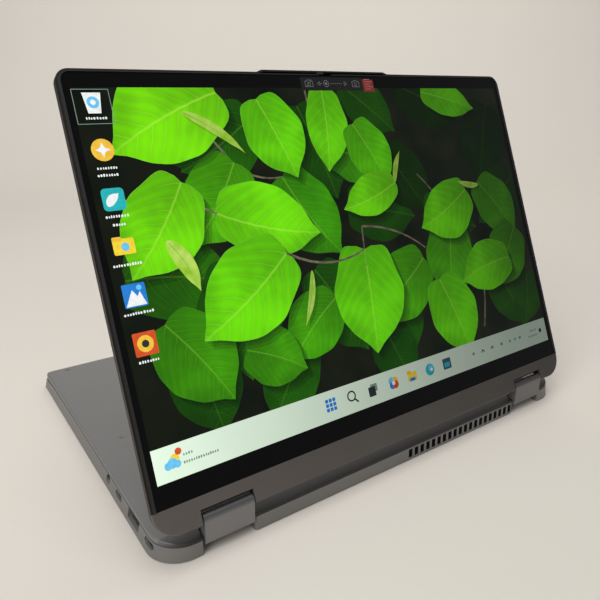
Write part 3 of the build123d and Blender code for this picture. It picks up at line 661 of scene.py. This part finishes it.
def young_leaves(pic):
    """Narrow rolled leaves: place, length, direction, width share."""
    buds = [(52, 176, 40, -36, 0.14), (30, 112, 30, -66, 0.32), (110, 84, 32, -112, 0.13),
            (186, 128, 22, 64, 0.18), (262, 120, 20, 168, 0.22)]
    for x, y, length, angle, width in buds:
        shape = leaf_outline(length, width, 0.1, 0.0)
        pic.shadow(placed(shape, x + 1.5, y - 2.0, angle))
        pic.add(placed(shape, x, y, angle), bud_mat)
        rib = strip(bowed(1.5, 0.2, length * 0.8, 0.6, 0.05), 0.5, 0.2)
        pic.add(placed(rib, x, y, angle), edge_light)


def picture():
    pic = Sheet()
    pic.add(tile(0, 0, PIC_W, PIC_H), gloom)
    deep_leaves(pic)
    middle_leaves(pic)
    front_leaves(pic)
    young_leaves(pic)
    desktop_icons(pic)
    task_bar(pic)
    return pic


def flat(name, colour):
    """An icon colour that drifts a quarter brighter."""
    return lit_material(name, colour, tuple(min(1.0, c * 1.25) for c in colour), 40.0)


white = flat("icon_white", (0.80, 0.88, 0.84))
ink = flat("icon_ink", (0.020, 0.030, 0.028))
blue = flat("icon_blue", (0.02, 0.20, 0.62))
sky = flat("icon_sky", (0.14, 0.52, 0.85))
teal = flat("icon_teal", (0.02, 0.42, 0.45))
amber = flat("icon_amber", (0.85, 0.50, 0.05))
sun = flat("icon_sun", (0.90, 0.62, 0.04))
brick = flat("icon_brick", (0.60, 0.08, 0.02))
dusk = flat("icon_dusk", (0.05, 0.09, 0.16))
grey = flat("icon_grey", (0.20, 0.30, 0.24))


def caption(pic, x, y, w, mat, high=1.4):
    """A short row of soft marks where a caption would be."""
    at = x - w / 2
    while at < x + w / 2:
        wide = rng.uniform(0.6, 1.0)
        tall = high * rng.uniform(0.7, 1.0)
        pic.add(tile(at, y - high / 2, at + wide, y - high / 2 + tall, 0.3, 2), mat)
        at += wide + rng.uniform(0.35, 0.6)


def cup_icon(pic, x, y):
    """A cup in a selection frame."""
    for edge in outline(tile(x - 8.6, y - 10, x + 8.6, y + 6.6), 0.3):
        pic.add(edge, grey)
    pic.add([(x - 4.2, y + 5), (x + 4.6, y + 5), (x + 3.2, y - 5), (x - 2.8, y - 5)], white)
    pic.add(disc(x + 0.3, y + 0.3, 2.9), sky)
    pic.add(disc(x + 0.3, y + 0.3, 1.3), white)
    caption(pic, x, y - 7.2, 9, white)


def star_icon(pic, x, y):
    """A four-pointed star on a disc."""
    pic.add(disc(x, y, 5.4), amber)
    pic.add([(x, y + 3.6), (x + 1.1, y + 1.1), (x + 3.6, y), (x + 1.1, y - 1.1),
             (x, y - 3.6), (x - 1.1, y - 1.1), (x - 3.6, y), (x - 1.1, y + 1.1)], white)
    caption(pic, x, y - 8.6, 9, white)
    caption(pic, x, y - 12.0, 10, white)


def leaf_icon(pic, x, y):
    pic.add(tile(x - 5.4, y - 5.4, x + 5.4, y + 5.4, 2.0), teal)
    pic.add(placed(leaf_outline(8.5, 0.5, 0.1, 0), x - 3.4, y - 3.0, 42), white)
    caption(pic, x, y - 8.0, 11, white)
    caption(pic, x, y - 12.0, 6, white)


def folder_icon(pic, x, y):
    pic.add(tile(x - 5.2, y - 4.2, x + 5.2, y + 3.4, 0.8), sun)
    pic.add(tile(x - 5.2, y + 2.2, x - 0.6, y + 4.4, 0.6), amber)
    pic.add(disc(x + 0.6, y - 0.6, 2.0, 14), sky)
    caption(pic, x, y - 9.0, 14, white)


def hills_icon(pic, x, y):
    pic.add(tile(x - 5.6, y - 5.6, x + 5.6, y + 5.6, 0.6), blue)
    pic.add([(x - 5.0, y - 5), (x - 1.0, y + 2.6), (x + 1.2, y - 0.6), (x + 2.6, y + 1.6), (x + 5.0, y - 5)],
            white)
    pic.add(disc(x + 2.6, y + 3.4, 1.3, 14), sky)
    caption(pic, x, y - 8.4, 14, white)


def target_icon(pic, x, y):
    pic.add(tile(x - 5.6, y - 5.6, x + 5.6, y + 5.6, 0.6), brick)
    pic.add(disc(x, y, 4.0), amber)
    pic.add(disc(x, y, 1.8), ink)
    caption(pic, x, y - 8.2, 10, white)


DESK_X = 9.0
DESK_ICONS = [(cup_icon, 181.0), (star_icon, 158.5), (leaf_icon, 134.8), (folder_icon, 112.6),
              (hills_icon, 88.8), (target_icon, 65.6)]


def desktop_icons(pic):
    for draw, y in DESK_ICONS:
        draw(pic, DESK_X, y)


def weather_mark(pic, y):
    """Sun behind a cloud, a round badge and two lines of marks."""
    pic.add(disc(10.6, y + 0.9, 2.4, 18), sun)
    for cx, cy, r in ((6.9, y - 1.6, 1.9), (9.2, y - 0.8, 2.5), (11.6, y - 1.7, 1.8)):
        pic.add(disc(cx, cy, r, 18), sky)
    pic.add(disc(13.0, y + 3.9, 1.7, 16), brick)
    caption(pic, 17.6, y + 1.7, 5, grey, 1.6)
    caption(pic, 23.6, y - 2.1, 18, grey, 1.5)


def grid_mark(pic, x, y):
    """Nine small squares."""
    for i in range(3):
        for j in range(3):
            left, low = x - 3.5 + i * 2.5, y - 3.5 + j * 2.5
            pic.add(tile(left, low, left + 2.0, low + 2.0, 0.4), blue)


def lens_mark(pic, x, y):
    pic.add(disc(x - 0.6, y + 0.8, 3.1, 22), ink)
    pic.add(disc(x - 0.6, y + 0.8, 2.2, 22), bar_mat)
    pic.add(strip([(x + 1.4, y - 1.4), (x + 3.6, y - 3.6)], 1.0, 1.0), ink)


def panes_mark(pic, x, y):
    """Two overlapping panes."""
    pic.add(tile(x - 1.4, y - 1.2, x + 3.6, y + 3.4, 0.5), grey)
    pic.add(tile(x - 3.2, y - 3.6, x + 2.0, y + 2.0, 0.5), ink)


def petals_mark(pic, x, y):
    petals = ((-1.3, 1.1, 2.5, sky), (1.5, 0.9, 2.3, amber), (-1.2, -1.5, 2.2, blue), (1.3, -1.4, 2.4, brick))
    for dx, dy, r, mat in petals:
        pic.add(disc(x + dx, y + dy, r, 16), mat)
    pic.add(disc(x, y - 0.2, 1.3, 14), white)


def drawer_mark(pic, x, y):
    pic.add(tile(x - 3.8, y - 3.0, x + 3.8, y + 2.4, 0.5), sun)
    pic.add(tile(x - 3.8, y + 1.4, x - 0.4, y + 3.6, 0.4), amber)
    pic.add(tile(x - 2.2, y - 3.0, x + 2.2, y - 1.0, 0.3), blue)


def bubble_mark(pic, x, y):
    pic.add(disc(x, y, 3.7, 22), teal)
    pic.add(disc(x + 0.9, y + 0.7, 2.2, 20), sky)
    pic.add(disc(x + 1.4, y - 0.2, 1.0, 14), white)


def screen_mark(pic, x, y):
    pic.add(tile(x - 3.6, y - 3.4, x + 3.6, y + 3.4, 0.7), dusk)
    pic.add(tile(x - 2.3, y - 2.2, x + 2.3, y + 0.8, 0.3), teal)


def tray(pic, y):
    """A small arrow, status marks and two lines where the clock would be."""
    x = 231.4
    pic.add([(x - 1.8, y - 0.8), (x, y + 1.2), (x + 1.8, y - 0.8), (x + 1.2, y - 1.3), (x, y + 0.1),
             (x - 1.2, y - 1.3)], ink)
    for at, wide in ((222, 2.0), (241, 2.8), (251, 2.6), (260, 1.8), (265.6, 1.6), (271, 2.4)):
        pic.add(tile(at - wide / 2, y - 0.9, at + wide / 2, y + 0.9, 0.4), grey)
    caption(pic, 286.6, y + 1.8, 7, grey, 1.3)
    caption(pic, 285.4, y - 1.9, 10, grey, 1.3)
    pic.add(disc(294.6, y, 1.5, 12), ink)


BAR_MIDDLE = 8.7
BAR_MARKS = [(grid_mark, 103.2), (lens_mark, 118.6), (panes_mark, 133.8), (petals_mark, 150.2),
             (drawer_mark, 165.6), (bubble_mark, 181.0), (screen_mark, 196.4)]


def task_bar(pic):
    pic.add(tile(0, 0, PIC_W, BAR_H), bar_mat)
    weather_mark(pic, BAR_MIDDLE)
    for draw, x in BAR_MARKS:
        draw(pic, x, BAR_MIDDLE)
    tray(pic, BAR_MIDDLE)


screen_at = LID @ Matrix.Translation((-PIC_W / 2, PIC_V0, 0))
screen = picture().build("screen_picture", (0, 0, PIC_W, PIC_H), PICTURE_UP, screen_at)
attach(screen, "lid")


# ---------------------------------------------------------------- print on the camera film
LINE = 0.34                                 # mm, drawn line of the pictograms
THIN = 0.3


def ring(x, y, r, w, n):
    return outline(disc(x, y, r, n), w)


def film_print():
    """Two camera pictograms, the left one crossed out, with the slide and its directions between."""
    film = Sheet()
    shapes = []
    for cx in (-14.6, 20.6):
        body = [(cx - 2.7, -1.9), (cx + 2.7, -1.9), (cx + 2.7, 1.4), (cx + 1.3, 1.4),
                (cx + 0.8, 2.1), (cx - 0.8, 2.1), (cx - 1.3, 1.4), (cx - 2.7, 1.4)]
        shapes += outline(body, LINE) + ring(cx, -0.2, 1.05, LINE, 14)
    shapes.append(strip([(-16.9, -2.2), (-12.3, 2.2)], LINE, LINE))
    shapes += ring(-2.0, 0, 1.9, 0.4, 22)
    shapes.append(disc(-2.0, 0, 0.9, 14))
    shapes += outline([(-8.6, 0), (-6.6, 1.2), (-6.6, -1.2)], THIN)
    shapes.append(strip([(-6.6, 0), (-5.0, 0)], THIN, THIN))
    shapes += [disc(1.8 + 1.5 * i, 0, LINE, 8) for i in range(6)]
    shapes += outline([(13.6, 0), (11.6, 1.2), (11.6, -1.2)], THIN)
    for shape in shapes:
        film.add(shape, print_grey)
    return film


def tab_print():
    """Plain lines, long and short, on the pull tab."""
    tab = Sheet()
    for i in range(5):
        low = -3.6 + i * 1.55
        tab.add(tile(27.6, low, 27.6 + (6.2 if i % 2 else 4.6), low + 0.45), print_pale)
    return tab


print_grey = surface("film_print", (0.16, 0.16, 0.165), 0.4, 0.0, mottle=0.15)
print_pale = surface("tab_print", (0.42, 0.16, 0.14), 0.45, 0.0, mottle=0.15)
film_at = LID @ Matrix.Translation((0, FILM_V, 0))
film = film_print().build("film_print", (-20, -4, 26.2, 4), PRINT_UP, film_at)
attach(film, "lid")
tab_marks = tab_print().build("tab_print", (26, -6, 34.6, 3), TAB_UP, film_at)
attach(tab_marks, "lid")


# ---------------------------------------------------------------- floor, light, camera
WARM_WHITE = (1.0, 0.99, 0.975)
VIEW_HEADING = 0.574, 0.819                 # level direction away from the camera
COVE = 0.9                                  # metres to the backdrop's curve, and its radius


def add_floor():
    """Pale table that curves up into a backdrop behind the object."""
    mesh = bpy.data.meshes.new("floor")
    east, north = VIEW_HEADING
    away, side = Vector((east, north, 0)), Vector((north, -east, 0))
    profile = [(-4.0, 0.0), (COVE, 0.0)]
    for degrees in range(6, 91, 6):
        a = math.radians(degrees)
        profile.append((COVE + COVE * math.sin(a), COVE - COVE * math.cos(a)))
    profile.append((2 * COVE, 2.6))
    verts = [away * s + side * w + Vector((0, 0, z)) for s, z in profile for w in (-4.0, 4.0)]
    faces = [(2 * i, 2 * i + 1, 2 * i + 3, 2 * i + 2) for i in range(len(profile) - 1)]
    mesh.from_pydata(verts, [], faces)
    for poly in mesh.polygons:
        poly.use_smooth = True
    obj = bpy.data.objects.new("floor", mesh)
    bpy.context.scene.collection.objects.link(obj)
    mesh.materials.append(surface("floor_paint", (0.70, 0.658, 0.598), 0.75, 0.0, mottle=0.012,
                                  mottle_scale=3.0, grain_scale=300.0, specular=0.2))


def add_area(name, at, target, size, power):
    """A square soft light, size in metres and power in watts."""
    data = bpy.data.lights.new(name, "AREA")
    data.energy = power
    data.color = WARM_WHITE
    data.shape = "RECTANGLE"
    data.size = size
    data.size_y = size
    obj = bpy.data.objects.new(name, data)
    obj.location = at
    aim = Vector(target) - Vector(at)
    obj.rotation_euler = aim.to_track_quat("-Z", "Y").to_euler()
    bpy.context.scene.collection.objects.link(obj)


def add_world():
    world = bpy.data.worlds.new("studio")
    world.use_nodes = True
    background = world.node_tree.nodes["Background"]
    background.inputs[0].default_value = (0.95, 0.97, 1.0, 1)
    background.inputs[1].default_value = 0.21
    bpy.context.scene.world = world


def add_camera():
    """The view over the left hinge; its rotation is given by three unit vectors."""
    data = bpy.data.cameras.new("view")
    data.sensor_width = 36.0
    data.lens = 35.876
    data.shift_x = -0.00255
    data.shift_y = -0.0119
    data.clip_start = 0.01
    obj = bpy.data.objects.new("view", data)
    right = Vector((0.8207, -0.5713, 0.0089))
    up = Vector((0.1829, 0.2775, 0.9432))
    back = -Vector((0.5413, 0.7724, -0.3322))
    m = Matrix((right, up, back)).transposed().to_4x4()
    obj.matrix_world = Matrix.Translation((-0.22923, -0.32926, 0.21832)) @ m
    bpy.context.scene.collection.objects.link(obj)
    bpy.context.scene.camera = obj


add_floor()
add_world()
add_area("key", (-0.30, -0.20, 1.9), (0, 0, 0), 1.5, 18.3)
add_area("side", (-1.05, -0.45, 0.62), (0, -0.08, 0.02), 0.7, 7.5)
add_area("back", (0.95, 0.55, 1.7), (1.2, 1.2, 0.5), 1.4, 13)
add_area("far", (-0.3, 1.0, 1.2), (-0.3, 2.6, 1.0), 1.0, 5)
add_camera()
bpy.context.scene.view_settings.view_transform = "Standard"
